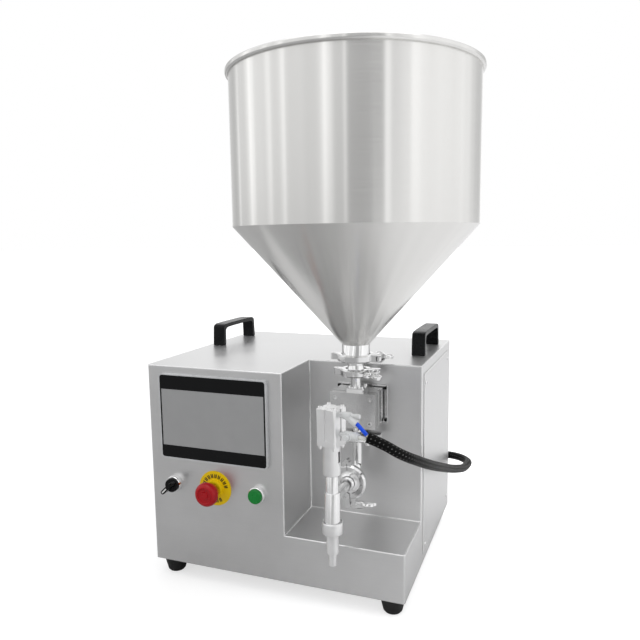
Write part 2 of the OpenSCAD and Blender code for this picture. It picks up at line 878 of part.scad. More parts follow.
module air_cylinder() {
  w = cylinder_w;
  color(satin) place() turned() translate([0, 0, cylinder_z]) difference() {
    union() {
      linear_extrude(cylinder_h) difference() {
        translate([-w / 2, -w / 2]) round_rect(w, w, 3);
        // sensor slot in each face
        for (a = [0, 90, 180, 270]) rotate(a) {
          translate([-slot_w / 2, w / 2 - 2.2]) square([slot_w, 3]);
        }
      }
      translate([0, 0, cylinder_h]) cylinder(r = 8, h = 1.4);
      for (x = [-12, 12], y = [-12, 12]) {
        translate([x, y, cylinder_h]) cap_screw(3, 3.2);
      }
    }
    translate([0, 0, 3]) cylinder(r = 10, h = cylinder_h - 7);
    translate([0, 0, -1]) cylinder(r = guide_r + fit, h = 6, $fn = 48);
  }
}

module nozzle_collar() {
  w = cylinder_w;
  color(satin) place() turned() {
    difference() {
      union() {
        translate([0, 0, plate_z]) linear_extrude(plate_t) {
          translate([-w / 2, -w / 2]) round_rect(w, w, 3);
        }
        translate([0, 0, collar_z]) rotate_extrude() {
          polygon([[0, 0], [collar_r - 1.5, 0], [collar_r, 1.5],
                   [collar_r, plate_z - collar_z + 1], [0, plate_z - collar_z + 1]]);
        }
      }
      translate([0, 0, collar_z - 1]) cylinder(r = 10, h = collar_bore_h + 1);
      translate([0, 0, collar_z + 40]) cylinder(r = guide_r + fit, h = 30, $fn = 48);
      // window that shows the rod coupling
      translate([5, -2.5, collar_z + 21]) cube([20, 5, 17]);
    }
    // nuts and studs under the plate's corners
    for (x = [-12, 12], y = [-12, 12]) translate([x, y, plate_z - 4]) {
      cylinder(r = 3.2, h = 4, $fn = 6);
      translate([0, 0, -2]) cylinder(r = 1.8, h = 3, $fn = 24);
    }
  }
}

hub_r = 11;
hub_h = 10;
branch_bore_r = 6;
module nozzle_body() {
  color(steel) place() difference() {
    union() {
      at_nozzle(tube_joint_z) cylinder(r = 9.9, h = collar_z - tube_joint_z);
      at_nozzle(body_foot_z) cylinder(r = barrel_r, h = tube_joint_z - body_foot_z);
      at_nozzle(body_z) cylinder(r = 14.1, h = body_foot_z - body_z);
      // side pipe with its ferrule and hub
      translate([head_x, clamp_noz_y, outlet_z]) face_front() {
        ferrule(ferrule_r, hub_r, branch_bore_r, hub_h);
        translate([0, 0, hub_h]) cylinder(r1 = hub_r, r2 = pipe_r, h = 3);
        translate([0, 0, hub_h]) cylinder(r = pipe_r, h = clamp_noz_y - hub_h - nozzle_y);
      }
    }
    at_nozzle(body_z - 1) cylinder(r = 8, h = 74);
    at_nozzle(body_z) cylinder(r = guide_r + fit, h = 100, $fn = 48);
    translate([head_x, clamp_noz_y - 2, outlet_z]) face_front() {
      cylinder(r = branch_bore_r, h = clamp_noz_y - 2 - nozzle_y);
    }
  }
}

module nozzle_nut() {
  h = nozzle_nut_h;
  color(steel) place() at_nozzle(nozzle_nut_z) rotate_extrude() {
    polygon([[9.7, 0], [nut_r - 1, 0], [nut_r, 1], [nut_r, h - 1], [nut_r - 1, h],
             [14.4, h], [14.4, 4], [9.7, 4]]);
  }
}

shank_r = 9.5;
module nozzle_tip() {
  top = shelf_z + 3.4;
  color(steel) place() at_nozzle(0) rotate_extrude() {
    polygon([[4.2, tip_z], [tip_r, tip_z], [tip_r, 87], [8.1, 87], [shank_r, 89.5],
             [shank_r, shelf_z + 0.1], [14, shelf_z + 0.1], [14, top], [6.5, top], [6.5, 91],
             [5, 89], [5, tip_z + lift], [4.2, tip_z + lift]]);
  }
}

module shutoff_stem() {
  piston_z = cylinder_z + 8;
  color(steel) place() at_nozzle(0) {
    translate([0, 0, tip_z + 5]) cylinder(r = guide_r, h = piston_z - tip_z, $fn = 48);
    translate([0, 0, tip_z + 1.5]) cylinder(r = 4.2 - fit, h = 7, $fn = 48);
    translate([0, 0, 232]) cylinder(r = 6, h = 12, $fn = 48);
    translate([0, 0, piston_z]) cylinder(r = 10 - fit, h = 8);
  }
}

fitting_up = cylinder_z + 39;
fitting_low = cylinder_z + 9.7;
leg_tilt = 119;
leg_len = 20.7;
side_x = cylinder_w / 2;
knob_up = 1.6;
small_knob_r = 3.2;

// a hole for an air tube, along Z
module tube_socket(h) {
  cylinder(r = tube_r + 0.4, h = h, $fn = 40);
}

module flow_valves() {
  color(satin) place() turned() {
    // upper: body square to the cylinder's side, its outlet leg slanting down and out
    translate([side_x, 0, fitting_up]) difference() {
      union() {
        rotate([0, 90, 0]) cylinder(r = 4.8, h = 6, $fn = 6);
        translate([5, 0, 0]) rotate([0, 90, 0]) cylinder(r = 5.6, h = 12, $fn = 40);
        translate([9, 0, 0]) rotate([0, leg_tilt, 0]) cylinder(r = 5.6, h = leg_len, $fn = 40);
        translate([12, 0, knob_up]) rotate([0, 90, 0]) cylinder(r = 2.6, h = 12, $fn = 32);
      }
      translate([9, 0, 0]) rotate([0, leg_tilt, 0]) translate([0, 0, leg_len - 5]) tube_socket(6);
    }
    // lower: body across, its knob to the front and its outlet leg straight out
    translate([side_x, 0, fitting_low]) difference() {
      union() {
        rotate([0, 90, 0]) cylinder(r = 4.4, h = 8, $fn = 6);
        translate([7, 0, 0]) rotate([0, 90, 0]) cylinder(r = 6.4, h = 20, $fn = 40);
        translate([15, 0, 0]) face_front() cylinder(r = 6.4, h = 9, $fn = 40);
        translate([26, 0, 0]) rotate([0, 90, 0]) cylinder(r = 5.2, h = 4.5, $fn = 40);
      }
      translate([26, 0, 0]) rotate([0, 90, 0]) tube_socket(6);
    }
  }
}

// a knurled adjusting knob on the Z axis
module flow_knob(r, h) {
  difference() {
    cylinder(r = r, h = h, $fn = 40);
    for (a = [0 : 30 : 330]) {
      rotate(a) translate([r + 0.3, 0, 1]) cylinder(r = 0.6, h = h, $fn = 12);
    }
  }
}

module flow_knob_upper() {
  color(satin) place() turned() translate([side_x + 24.4, 0, fitting_up + knob_up]) {
    rotate([0, 90, 0]) flow_knob(small_knob_r, 7.6);
  }
}

module flow_knob_lower() {
  color(satin) place() turned() translate([side_x + 15, -9.3, fitting_low]) {
    face_front() flow_knob(4.6, 5);
  }
}

module air_tube_blue() {
  color([0.05, 0.35, 0.9]) place() swept(smooth(BLUE_ROUTE, 2), tube_r, 12);
}

module air_tube_clear() {
  color([0.85, 0.87, 0.88]) place() swept(smooth(CLEAR_ROUTE, 2), tube_r, 12);
}

module hose_sleeve() {
  color(rubber) place() swept(SLEEVE_ROUTE, sleeve_r, 12);
}

// ---- rear fittings ----

module rear_fittings() {
  color(steel) place() {
    // sleeve gland: hex outside, lock nut inside
    difference() {
      union() {
        translate([gland_x, gland_face_y, gland_z]) face_front() cylinder(r = 14, h = 6, $fn = 6);
        translate([gland_x, cabinet_d + 5, gland_z]) face_front() cylinder(r = 12.5, h = 5);
        translate([gland_x, cabinet_d + 1, gland_z]) face_front() cylinder(r = 10, h = 12);
        translate([gland_x, panel_y, gland_z]) face_front() cylinder(r = 14, h = 5, $fn = 6);
      }
      translate([gland_x, cabinet_d + 20, gland_z]) face_front() {
        cylinder(r = sleeve_r - 0.8, h = 40);
      }
    }
    // air inlet
    difference() {
      union() {
        translate([air_x, cabinet_d + 24, air_z]) face_front() cylinder(r = 7.5, h = 16);
        translate([air_x, cabinet_d + 8, air_z]) face_front() cylinder(r = 10, h = 8, $fn = 6);
        translate([air_x, cabinet_d + 1, air_z]) face_front() cylinder(r = 7, h = 16);
      }
      translate([air_x, cabinet_d + 25, air_z]) face_front() cylinder(r = 4, h = 60);
    }
  }
}

module power_inlet() {
  color(dark) place() {
    // socket with its flange and three blades
    translate([inlet_x, 0, inlet_z]) {
      difference() {
        union() {
          translate([-25, cabinet_d, -14]) cube([50, 3, 28]);
          translate([-13.8, 380, -10.3]) cube([27.6, 21, 20.6]);
        }
        translate([-12, 387, -8]) cube([24, 20, 16]);
      }
      for (x = [-7, 0, 7]) {
        translate([x - 1, 385, (x == 0 ? 2.5 : -4.5)]) cube([2, 12, 4]);
      }
    }
    // switch housing
    translate([inlet_x, 0, rocker_z]) difference() {
      union() {
        translate([-14, cabinet_d, -10]) cube([28, 2, 20]);
        translate([-10.9, 384, -7.4]) cube([21.8, 17, 14.8]);
      }
      translate([-9.9, 386, -6.4]) cube([19.8, 20, 12.8]);
    }
  }
}

rocker_y = 395;
rocker_tilt = 8;
pivot_r = 4;
module power_rocker() {
  color([0.6, 0.08, 0.08]) place() translate([inlet_x, rocker_y, rocker_z - 6]) {
    rotate([0, 0, -rocker_tilt]) linear_extrude(12) {
      polygon([[-8.6, 4], [-3, 1], [3, 1], [8.6, 4], [8.6, 8], [0, 6], [-8.6, 8]]);
    }
    // pivot barrel
    cylinder(r = pivot_r, h = 12);
  }
}

// ---- hopper ----

module hopper_barrel() {
  color(steel) place() translate([hopper_x, pipe_y, 0]) {
    translate([0, 0, shoulder_z]) difference() {
      cylinder(r = hopper_r, h = hopper_top_z - shoulder_z, $fn = 160);
      translate([0, 0, -1]) cylinder(r = hopper_r - hopper_t, h = hopper_top_z, $fn = 160);
    }
    translate([0, 0, hopper_top_z]) rotate_extrude($fn = 160) {
      hull() for (z = [-rim_flat, rim_flat]) translate([rim_centre, z]) circle(rim_r, $fn = 32);
    }
  }
}

cone_wall = 2.1;
module hopper_cone() {
  color(steel) place() translate([hopper_x, pipe_y, 0]) rotate_extrude($fn = 160) {
    polygon([[neck_r - cone_wall, cone_z], [neck_r, cone_z], [hopper_r, shoulder_z],
             [hopper_r - cone_wall, shoulder_z]]);
  }
}

module hopper_neck() {
  color(steel) place() translate([hopper_x, pipe_y, clamp_top_z]) {
    ferrule(ferrule_r, neck_r, neck_r - 1.8, cone_z - clamp_top_z);
  }
}

// ---- dosing drive inside the cabinet ----

// a solid rod along Y at height z
module y_rod(r, y0, y1, z) {
  translate([head_x, y1, z]) face_front() cylinder(r = r, h = y1 - y0);
}

module metering_barrel() {
  inner_wall = bay_d + sheet_t;
  color(steel) place() difference() {
    union() {
      y_rod(28, bay_d, inner_wall + 8, axis_z);
      head_block(44, inner_wall, inner_wall + 8, block_z - 4, block_top + 4);
      y_rod(25, inner_wall, barrel_end, axis_z);
      y_rod(28, barrel_end - 6, barrel_end, axis_z);
    }
    y_rod(bore_r, bay_d - 1, barrel_end + 1, axis_z);
  }
}

module drive_frame() {
  color(satin) place() difference() {
    union() {
      // legs, shelf, rear plate and bearing housing
      for (x = [-50, 42]) translate([head_x + x, motor_y, 2]) cube([8, 124, 138]);
      translate([head_x - 50, motor_y, 140]) cube([100, 124, 10]);
      translate([head_x - 50, rear_plate_y, 140]) cube([100, rear_plate_t, 180]);
      translate([head_x - 28, bearing_y, axis_z - 28]) cube([56, rear_plate_y - bearing_y, 56]);
    }
    y_rod(axis_screw_r + fit, bearing_y - 1, rear_plate_y + rear_plate_t + 1, axis_z);
    y_rod(7, rear_plate_y - 1, rear_plate_y + rear_plate_t + 1, motor_z);
    // lightening slot between the legs and the shelf
    translate([head_x - 20, motor_y + 20, 130]) cube([40, 70, 30]);
  }
}

module servo_motor() {
  w = motor_w;
  color(dark) place() difference() {
    union() {
      translate([head_x - w / 2, rear_plate_y, motor_z - w / 2]) face_front() {
        linear_extrude(8) round_rect(w, w, 4);
      }
      translate([head_x - w / 2 + 2, rear_plate_y - 8, motor_z - w / 2 + 2]) face_front() {
        linear_extrude(80) round_rect(w - 4, w - 4, 6);
      }
      translate([head_x - 22, rear_plate_y - 88, motor_z - 22]) face_front() {
        linear_extrude(24) round_rect(44, 44, 6);
      }
    }
    y_rod(5 + gap, rear_plate_y - 16, rear_plate_y + 1, motor_z);
  }
}

module timing_belt() {
  inner = pulley_r + gap;
  outer = inner + 2;
  span = axis_z - motor_z;
  color(rubber) place() translate([head_x, pulley_y + 13, motor_z]) face_front() {
    linear_extrude(12) difference() {
      union() {
        circle(outer);
        translate([0, span]) circle(outer);
        translate([-outer, 0]) square([2 * outer, span]);
      }
      circle(inner);
      translate([0, span]) circle(inner);
      translate([-inner, 0]) square([2 * inner, span]);
    }
  }
}

module motor_pulley() {
  color(steel) place() difference() {
    union() {
      y_rod(5, rear_plate_y - 15, pulley_y + pulley_t, motor_z);
      y_rod(pulley_r, pulley_y, pulley_y + pulley_t, motor_z);
    }
    pulley_holes(motor_z);
  }
}

module pulley_holes(z) {
  for (a = [0 : 60 : 300]) {
    translate([head_x + 12 * cos(a), pulley_y + pulley_t + 1, z + 12 * sin(a)]) {
      face_front() cylinder(r = 3.4, h = pulley_t + 2, $fn = 32);
    }
  }
}

module ball_screw() {
  color(steel) place() difference() {
    union() {
      y_rod(axis_screw_r, screw_y, pulley_y + pulley_t, axis_z);
      y_rod(9, bearing_y - 3.3, bearing_y - gap, axis_z);
      y_rod(pulley_r, pulley_y, pulley_y + pulley_t, axis_z);
    }
    pulley_holes(axis_z);
  }
}

module piston() {
  color(steel) place() difference() {
    union() {
      y_rod(bore_r - fit, piston_y, piston_y + piston_t, axis_z);
      y_rod(12, piston_y + piston_t - 1, nut_y + 1, axis_z);
      y_rod(18, nut_y, nut_y + nut_t, axis_z);
    }
    // seal grooves
    for (y = [piston_y + 4, piston_y + 12]) difference() {
      y_rod(bore_r + 1, y, y + 3, axis_z);
      y_rod(bore_r - 1.5, y - 1, y + 4, axis_z);
    }
    y_rod(7, piston_y + piston_t + 2, nut_y, axis_z);
    y_rod(axis_screw_r + fit, nut_y - 1, nut_y + nut_t + 1, axis_z);
  }
}

module inlet_ball() {
  color(steel) place() translate([hopper_x, pipe_y, ball_z]) sphere(ball_r, $fn = 64);
}

spring_z = clamp_in_z + 1;
spring_h = 7;
spring_r = 6.6;
turns = 3;
function helix(n) = [for (i = [0 : n]) [
  spring_r * cos(360 * turns * i / n),
  spring_r * sin(360 * turns * i / n),
  spring_h * i / n]];
module inlet_spring() {
  color(steel) place() translate([hopper_x, pipe_y, spring_z]) swept(helix(54), 0.55, 8);
}

// ---- electrics and air inside the cabinet ----

module drive_electronics() {
  color(satin) place() {
    // servo drive with cooling fins
    difference() {
      translate([50, 160, 2]) cube([55, 170, 165]);
      for (i = [0 : 7]) translate([49, 175 + i * 19, 20]) cube([6, 10, 130]);
    }
    // power supply
    difference() {
      translate([128, 225, 2]) cube([98, 140, 46]);
      for (i = [0 : 8]) translate([138, 240 + i * 13, 44]) cube([78, 6, 6]);
    }
  }
}

module air_valve() {
  color(satin) place() {
    difference() {
      translate([air_x - 18, 352, air_z - 18]) cube([36, 33, 36]);
      translate([air_x, 386, air_z]) face_front() cylinder(r = 3.5, h = 16);
    }
    translate([air_x - 12, 356, 2]) cube([24, 24, air_z - 20]);
    translate([air_x - 14, 300, air_z - 12]) cube([28, 52, 24]);
  }
}

cabinet_shell();
base_plate();
back_panel();
side_covers();
cover_screws();
rubber_feet();
carrying_handles();
screen_frame();
screen_glass();
screen_display();
estop_ring();
estop_body();
estop_stem();
estop_head();
selector_body();
selector_knob();
start_body();
start_cap();
valve_cover();
valve_body();
valve_flange();
valve_screws();
pipe_stubs();
reducer();
outlet_elbow();
gaskets();
pipe_clamps();
wing_nut_top();
wing_nut_inlet();
wing_nut_outlet();
wing_nut_nozzle();
air_cylinder();
nozzle_collar();
nozzle_body();
nozzle_nut();
nozzle_tip();
shutoff_stem();
flow_valves();
flow_knob_upper();
flow_knob_lower();
air_tube_blue();
air_tube_clear();
hose_sleeve();
rear_fittings();
hopper_barrel();
hopper_cone();
hopper_neck();
metering_barrel();
drive_frame();
servo_motor();
timing_belt();
motor_pulley();
ball_screw();
piston();
inlet_ball();
inlet_spring();
power_inlet();
power_rocker();
drive_electronics();
air_valve();
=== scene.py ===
"""Looks for the benchtop piston liquid filler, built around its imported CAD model.

Metres, row frame: origin at floor level under the middle of the machine, +Z up, front towards -Y.
"""
import math

import bpy
from mathutils import Matrix, Vector
from mathutils.geometry import interpolate_bezier


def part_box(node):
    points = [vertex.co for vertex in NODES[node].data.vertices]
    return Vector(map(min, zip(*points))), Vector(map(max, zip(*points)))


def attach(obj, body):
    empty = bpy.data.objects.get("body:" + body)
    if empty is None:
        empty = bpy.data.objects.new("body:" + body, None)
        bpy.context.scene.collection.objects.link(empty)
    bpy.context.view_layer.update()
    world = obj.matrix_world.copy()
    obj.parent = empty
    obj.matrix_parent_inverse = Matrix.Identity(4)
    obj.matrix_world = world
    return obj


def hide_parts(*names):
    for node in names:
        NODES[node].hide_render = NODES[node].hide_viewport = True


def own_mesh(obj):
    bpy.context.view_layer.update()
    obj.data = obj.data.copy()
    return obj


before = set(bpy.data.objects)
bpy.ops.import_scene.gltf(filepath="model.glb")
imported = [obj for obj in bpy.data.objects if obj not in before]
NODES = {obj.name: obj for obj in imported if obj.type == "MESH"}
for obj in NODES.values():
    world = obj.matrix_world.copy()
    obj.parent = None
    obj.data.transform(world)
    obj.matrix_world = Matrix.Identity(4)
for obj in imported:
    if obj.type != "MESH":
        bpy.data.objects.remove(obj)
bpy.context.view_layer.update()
SCENE = bpy.context.scene
MM = 0.001


# ---- camera ----

def add_camera(place, yaw, pitch, roll, lens):
    """A camera at place, turned yaw to the right of +Y, pitch below level and rolled, in degrees."""
    a, b, c = math.radians(yaw), math.radians(pitch), math.radians(roll)
    ahead = Vector((math.sin(a) * math.cos(b), math.cos(a) * math.cos(b), -math.sin(b)))
    right = Vector((math.cos(a), -math.sin(a), 0))
    up = right.cross(ahead)
    across = right * math.cos(c) + up * math.sin(c)
    above = up * math.cos(c) - right * math.sin(c)
    data = bpy.data.cameras.new("camera")
    data.lens = lens
    data.sensor_width = 36
    data.clip_start = 0.05
    camera = bpy.data.objects.new("camera", data)
    turn = Matrix((across, above, -ahead)).transposed().to_4x4()
    camera.matrix_world = Matrix.Translation(place) @ turn
    SCENE.collection.objects.link(camera)
    SCENE.camera = camera


add_camera(Vector((0.3842, -1.0519, 0.5903)), yaw=-20.685, pitch=7.442, roll=-0.771, lens=35.72)


# ---- meshes ----

def add_mesh(name, vertices, faces, body, material, smooth=True):
    """A mesh piece that rides on a body and takes the given material."""
    mesh = bpy.data.meshes.new(name)
    mesh.from_pydata([tuple(v) for v in vertices], [], faces)
    mesh.validate()
    piece = bpy.data.objects.new(name, mesh)
    SCENE.collection.objects.link(piece)
    for polygon in mesh.polygons:
        polygon.use_smooth = smooth
    mesh.materials.append(material)
    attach(piece, body)
    return piece


def frames_along(path):
    """Each point of a path with its side and upper directions, with no twist from one to the next."""
    result = []
    side = None
    for i, point in enumerate(path):
        ahead = path[min(i + 1, len(path) - 1)] - path[max(i - 1, 0)]
        ahead.normalize()
        if side is None:
            side = ahead.cross(Vector((0, 0, 1))).normalized()
        side = (side - ahead * side.dot(ahead)).normalized()
        result.append((point, side, ahead.cross(side)))
    return result


def smooth_path(route, step):
    """Points about step apart on a smooth curve through the route."""
    points = []
    for i in range(len(route) - 1):
        before = route[max(i - 1, 0)]
        start, end = route[i], route[i + 1]
        after = route[min(i + 2, len(route) - 1)]
        pull = (end - start).length / 3
        lead = (end - before).normalized() * pull
        trail = (after - start).normalized() * pull
        count = max(2, round((end - start).length / step))
        points += interpolate_bezier(start, start + lead, end - trail, end, count + 1)[:-1]
    return points + [route[-1]]


def tube_faces(rings, sides):
    """Faces of a closed tube made of rings of vertices, with a flat cap at each end."""
    faces = []
    for i in range(rings - 1):
        here, ahead = i * sides, (i + 1) * sides
        for k in range(sides):
            beside = (k + 1) % sides
            faces.append((here + k, here + beside, ahead + beside, ahead + k))
    faces.append(tuple(range(sides - 1, -1, -1)))
    faces.append(tuple((rings - 1) * sides + k for k in range(sides)))
    return faces


# ---- materials ----

class NodeTree:
    """A node tree with short calls for the nodes that materials and the studio share."""

    def __init__(self, tree):
        self.tree = tree

    def node(self, kind, **settings):
        node = self.tree.nodes.new("ShaderNode" + kind)
        for key, value in settings.items():
            setattr(node, key, value)
        return node

    def link(self, source, target):
        self.tree.links.new(source, target)

    def math(self, operation, a, b=None):
        node = self.node("Math", operation=operation)
        for socket, value in zip(node.inputs, (a, b)):
            if value is None:
                continue
            if isinstance(value, (int, float)):
                socket.default_value = value
            else:
                self.link(value, socket)
        return node.outputs[0]

    def axes(self, vector):
        """The x, y and z of a vector."""
        split = self.node("SeparateXYZ")
        self.link(vector, split.inputs[0])
        return split.outputs

    def ranged(self, value, low, high, source=(0.3, 0.7), **settings):
        """A value carried from the source range to low and high, and held at their ends."""
        node = self.node("MapRange", **settings)
        for socket, number in zip(node.inputs[1:5], (*source, low, high)):
            socket.default_value = number
        self.link(value, node.inputs[0])
        return node.outputs[0]

    def towards(self, colour, factor, target):
        """A linked colour where the factor is 0, and a plain target colour where it is 1."""
        node = self.node("Mix", data_type="RGBA")
        self.link(factor, node.inputs["Factor"])
        self.link(colour, node.inputs[6])
        node.inputs[7].default_value = (*target, 1)
        return node.outputs[2]


class Shader(NodeTree):
    """A Principled material with short calls for its procedural parts."""

    def __init__(self, name, **sockets):
        self.material = bpy.data.materials.new(name)
        self.material.use_nodes = True
        super().__init__(self.material.node_tree)
        self.bsdf = self.tree.nodes["Principled BSDF"]
        self.place = self.node("TexCoord").outputs["Object"]
        for socket, value in sockets.items():
            self.bsdf.inputs[socket.replace("_", " ").title().replace("Ior", "IOR")].default_value = value

    def stretched(self, scale, vector=None):
        mapping = self.node("Mapping")
        mapping.inputs["Scale"].default_value = scale
        self.link(vector or self.place, mapping.inputs["Vector"])
        return mapping.outputs[0]

    def noise(self, scale, detail=2.0, rough=0.5, stretch=None, vector=None):
        node = self.node("TexNoise")
        node.inputs["Scale"].default_value = scale
        node.inputs["Detail"].default_value = detail
        node.inputs["Roughness"].default_value = rough
        source = self.stretched(stretch, vector) if stretch else vector or self.place
        self.link(source, node.inputs["Vector"])
        return node.outputs["Fac"]

    def ramp(self, value, stops):
        node = self.node("ValToRGB")
        points = node.color_ramp.elements
        while len(points) < len(stops):
            points.new(0.5)
        for point, (position, colour) in zip(points, stops):
            point.position = position
            point.color = (*colour, 1)
        self.link(value, node.inputs[0])
        return node.outputs[0]

    def shares(self, a, b, share):
        """The given share of a, and b for the rest."""
        return self.math("ADD", self.math("MULTIPLY", a, share), self.math("MULTIPLY", b, 1 - share))

    def base(self, colour):
        self.link(colour, self.bsdf.inputs["Base Color"])

    def rough(self, value):
        self.link(value, self.bsdf.inputs["Roughness"])

    def bump(self, height, strength, distance):
        """Adds a bump on top of any that is there already."""
        node = self.node("Bump")
        node.inputs["Strength"].default_value = strength
        node.inputs["Distance"].default_value = distance
        self.link(height, node.inputs["Height"])
        before = self.bsdf.inputs["Normal"]
        if before.links:
            self.link(before.links[0].from_socket, node.inputs["Normal"])
        self.link(node.outputs[0], before)

    def upright(self):
        """Smears reflections up and down, as grain that runs round the part does."""
        direction = self.node("CombineXYZ")
        direction.inputs[2].default_value = 1
        self.link(direction.outputs[0], self.bsdf.inputs["Tangent"])

    def fold_highlight_mask(self, radius):
        """How close a point is to a fold of the sheet, 0 to 1, used as the mask of a painted highlight along
        the folds, which also rounds the fold's shading.
        """
        rounded = self.node("Bevel", samples=6)
        rounded.inputs["Radius"].default_value = radius
        self.link(rounded.outputs[0], self.bsdf.inputs["Normal"])
        likeness = self.node("VectorMath", operation="DOT_PRODUCT")
        self.link(rounded.outputs[0], likeness.inputs[0])
        self.link(self.node("NewGeometry").outputs["Normal"], likeness.inputs[1])
        return self.ranged(likeness.outputs["Value"], 1, 0, (0.92, 0.995))

    def facing(self, axis):
        """How squarely the surface faces along an axis, 0 to 1."""
        return self.math("ABSOLUTE", self.axes(self.node("NewGeometry").outputs["Normal"])[axis])

    def blend(self, factor, a, b):
        """Value a where the factor is 0, and value b where it is 1."""
        node = self.node("Mix")
        self.link(factor, node.inputs[0])
        self.link(a, node.inputs[2])
        self.link(b, node.inputs[3])
        return node.outputs[0]


def grey(value):
    """A neutral colour."""
    return (value, value, value)


def brushed_sheet():
    """Cabinet steel: fine horizontal grain, faint smudges, slight waves, and a painted highlight that turns
    the folds near-white and less rough.
    """
    s = Shader("brushed_sheet", metallic=0.9)
    fold_highlight_mask = s.fold_highlight_mask(0.0034)
    along_x = s.noise(1, 4, 0.7, (9, 900, 900))
    along_y = s.noise(1, 4, 0.7, (900, 9, 900))
    grain = s.blend(s.facing(0), along_x, along_y)
    uneven = s.shares(grain, s.noise(14, 4, 0.6), 0.3)
    steel = s.ramp(uneven, [(0.3, grey(0.65)), (0.7, grey(0.71))])
    # painted highlight: the base colour goes to near-white along the folds
    s.base(s.towards(steel, fold_highlight_mask, grey(0.99)))
    s.rough(s.math("SUBTRACT", s.ranged(uneven, 0.3, 0.4), s.math("MULTIPLY", fold_highlight_mask, 0.26)))
    s.bump(grain, 0.1, 0.00004)
    s.bump(s.noise(3.2, 1), 0.5, 0.0018)
    return s.material


def rolled_steel():
    """Hopper steel: grain running round the cone and cylinder, so reflections smear up and down."""
    s = Shader("rolled_steel", metallic=1.0, anisotropic=0.97)
    place = s.axes(s.place)
    low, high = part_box("hopper_neck")
    x = s.math("SUBTRACT", place[0], (low[0] + high[0]) / 2)
    y = s.math("SUBTRACT", place[1], (low[1] + high[1]) / 2)
    round_place = s.node("CombineXYZ")
    s.link(s.math("ARCTAN2", y, x), round_place.inputs[0])
    s.link(place[2], round_place.inputs[2])
    s.upright()
    grain = s.noise(1, 4, 0.7, (3, 1, 1100), round_place.outputs[0])
    bands = s.noise(1, 1, 0.4, (9, 1, 0.8), round_place.outputs[0])
    s.base(s.ramp(s.shares(bands, grain, 0.5),
                  [(0.3, (0.735, 0.73, 0.715)), (0.7, (0.81, 0.805, 0.79))]))
    s.rough(s.ranged(grain, 0.2, 0.25))
    s.bump(grain, 0.06, 0.00003)
    s.bump(bands, 0.3, 0.0012)
    return s.material


def turned_steel(name, tone, rough, bump, smear=0.0):
    """Machined or polished steel: tool marks as fine noise, soft uneven polish, upright smeared shine."""
    s = Shader(name, metallic=1.0, anisotropic=smear)
    if smear:
        s.upright()
    marks = s.noise(1, 3, 0.6, (500, 500, 1800))
    cloud = s.noise(26, 3, 0.5)
    s.base(s.ramp(cloud, [(0.3, grey(tone[0])), (0.7, grey(tone[1]))]))
    s.rough(s.ranged(s.shares(marks, cloud, 0.5), *rough))
    s.bump(marks, bump, 0.00006)
    if not smear:
        s.bump(s.noise(60, 2), 0.12, 0.0004)
    return s.material


WALL_SCREW_LENGTH = 12 * MM


def cap_screws():
    """Bright socket screws on the block, and blackened ones on the wall plate behind it."""
    s = Shader("cap_screws", metallic=1.0)
    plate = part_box("valve_screws")[1][1]
    start = plate - WALL_SCREW_LENGTH
    behind = s.ranged(s.axes(s.place)[1], 0, 0.9, (start - 2 * MM, start))
    s.base(s.ramp(s.math("ADD", behind, s.math("MULTIPLY", s.noise(60, 3), 0.1)),
                  [(0, grey(0.88)), (0.1, grey(0.8)), (0.9, grey(0.02)), (1, grey(0.03))]))
    s.rough(s.ranged(s.noise(300, 2), 0.12, 0.22))
    s.bump(s.noise(1, 3, 0.6, (500, 1800, 500)), 0.06, 0.00006)
    return s.material


def plastic(name, colour, rough, grain=1500, bump=0.3, spread=0.12, **sockets):
    """Moulded plastic or rubber: fine grain, and a little variation of colour and gloss."""
    s = Shader(name, **sockets)
    cloud = s.noise(40, 3, 0.6)
    darker = tuple(c * (1 - spread) for c in colour)
    lighter = tuple(min(1, c * (1 + spread)) for c in colour)
    s.base(s.ramp(cloud, [(0.3, darker), (0.7, lighter)]))
    s.rough(s.ranged(s.noise(90, 3, 0.6), rough * 0.85, min(1, rough * 1.15)))
    s.bump(s.noise(grain, 2, 0.6), bump, 0.00008)
    return s.material


def anodised(name, tone, rough):
    """Bead-blasted, clear anodised aluminium."""
    s = Shader(name, metallic=0.85)
    s.base(s.ramp(s.noise(30, 3, 0.5), [(0.3, grey(tone[0])), (0.7, grey(tone[1]))]))
    s.rough(s.ranged(s.noise(1, 3, 0.6, (400, 400, 60)), rough - 0.04, rough + 0.04))
    s.bump(s.noise(2600, 2, 0.6), 0.12, 0.00003)
    return s.material


